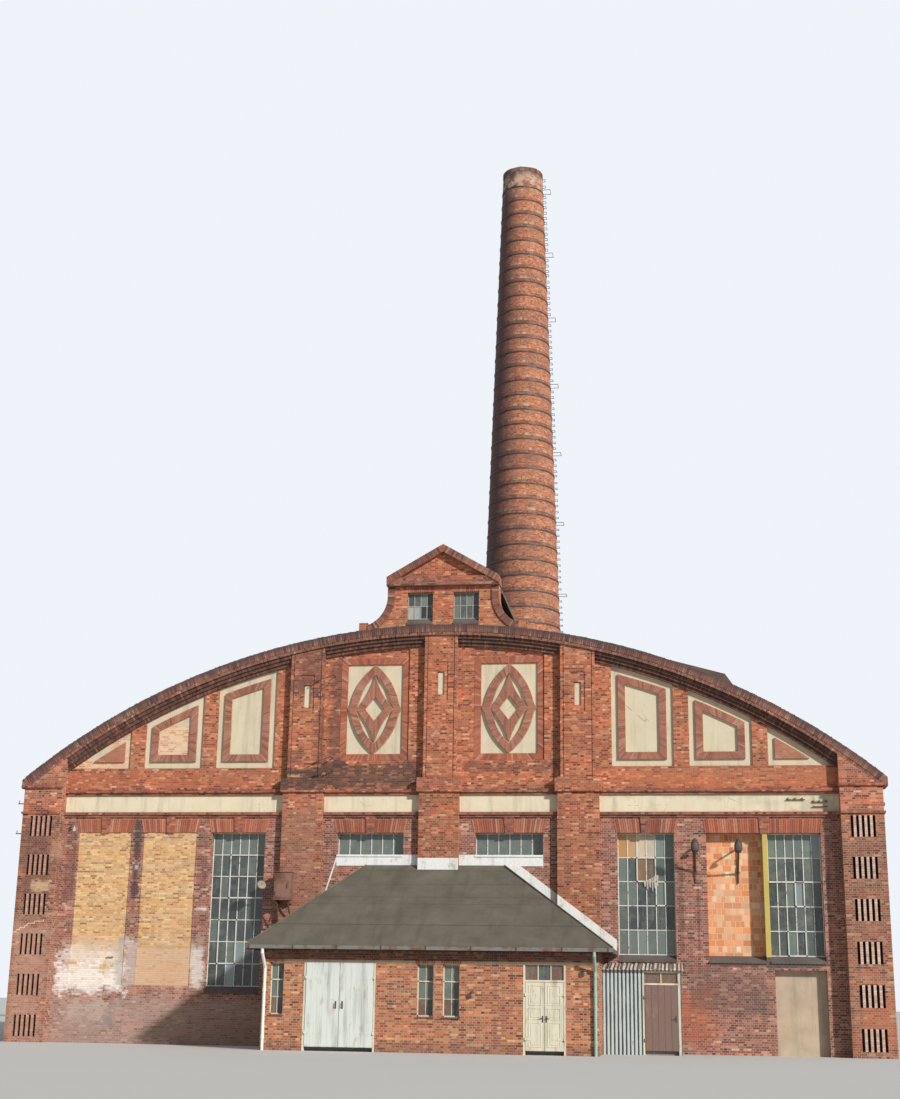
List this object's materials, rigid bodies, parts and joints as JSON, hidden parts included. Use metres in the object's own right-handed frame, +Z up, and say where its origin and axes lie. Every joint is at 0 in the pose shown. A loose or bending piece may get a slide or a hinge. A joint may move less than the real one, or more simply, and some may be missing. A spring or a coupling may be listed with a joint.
{
  "type": "factory building, brick engine hall with front annex and round chimney, 1:2 scale model",
  "caption": "Brick industrial hall with a segmental gable, cream panels, pointed brick reliefs, a hipped annex with opening doors and a tall hooped chimney, as a 1:2 scale model.",
  "frame": {"origin": "middle of the hall's ground floor underside, at ground level", "axes": "+Z up, -Y out of the decorated gable, +X to the right seen from the front"},
  "size_m": [15.6, 19.2, 25],
  "materials": {
    "red_brick": "weathered",
    "dark_brick": "weathered",
    "cream_render": "matte",
    "yellow_brick": "weathered",
    "block": "matte",
    "grey_render": "matte",
    "concrete": "matte",
    "felt": "weathered",
    "glass": "dusty",
    "flashing": "weathered",
    "zinc": "weathered",
    "pale_timber": "weathered",
    "grey_timber": "weathered",
    "brown_timber": "weathered",
    "corrugated": "weathered",
    "iron": "rusty",
    "chimney_brick": "weathered"
  },
  "bodies": {
    "root": {"ground_floors": "concrete", "front_wall_left": "red_brick", "front_wall_middle": "red_brick", "front_wall_right": "red_brick", "front_gable": "red_brick", "corner_piers": "red_brick", "front_pilasters": "red_brick", "string_course": "dark_brick", "front_cornice": "dark_brick", "cream_panels": "cream_render", "panel_frames": "red_brick", "lozenge_reliefs": "red_brick", "gable_corbels": "dark_brick", "gable_coping": "dark_brick", "gablet_wall": "red_brick", "gablet_cornice": "dark_brick", "front_windows": "glass", "yellow_brick_infill": "yellow_brick", "block_infill": "block", "doorway_infill": "grey_render", "side_wall_left": "red_brick", "side_wall_right": "red_brick", "rear_wall": "red_brick", "side_windows": "glass", "hall_roof": "felt", "lantern_walls": "brown_timber", "lantern_roof": "felt", "roof_lights": "felt", "annex_front_wall": "red_brick", "annex_lintels": "red_brick", "annex_side_walls": "red_brick", "annex_roof": "felt", "annex_flashing": "flashing", "annex_windows": "glass", "annex_gutter": "zinc", "door_frames": "pale_timber", "door_hinges": "iron", "porch_walls": "corrugated", "porch_roof": "corrugated", "chimney_plinth": "red_brick", "chimney_shaft": "chimney_brick", "chimney_hoops": "iron", "chimney_ladder": "iron", "wall_fittings": "iron", "window_sills": "concrete", "keystones": "red_brick", "downpipes": "zinc", "pier_caps": "dark_brick"},
    "entrance_left": {"entrance_door_left": "pale_timber"},
    "entrance_right": {"entrance_door_right": "pale_timber"},
    "yard_left": {"yard_door_left": "grey_timber"},
    "yard_right": {"yard_door_right": "grey_timber"},
    "porch_leaf": {"porch_door": "brown_timber"}
  },
  "joints": [
    {"name": "entrance_left_hinge", "type": "hinge", "parent": "root", "child": "entrance_left", "pos_m": [1.725, -8.712, 0.7], "axis": [0, 0, 1], "range_deg": [-100, 0]},
    {"name": "entrance_right_hinge", "type": "hinge", "parent": "root", "child": "entrance_right", "pos_m": [2.345, -8.712, 0.7], "axis": [0, 0, 1], "range_deg": [0, 100]},
    {"name": "yard_left_hinge", "type": "hinge", "parent": "root", "child": "yard_left", "pos_m": [-1.87, -8.712, 0.7], "axis": [0, 0, 1], "range_deg": [-100, 0]},
    {"name": "yard_right_hinge", "type": "hinge", "parent": "root", "child": "yard_right", "pos_m": [-0.74, -8.712, 0.7], "axis": [0, 0, 1], "range_deg": [0, 100]},
    {"name": "porch_hinge", "type": "hinge", "parent": "root", "child": "porch_leaf", "pos_m": [3.593, -7.512, 0.7], "axis": [0, 0, 1], "range_deg": [-95, 0]}
  ]
}
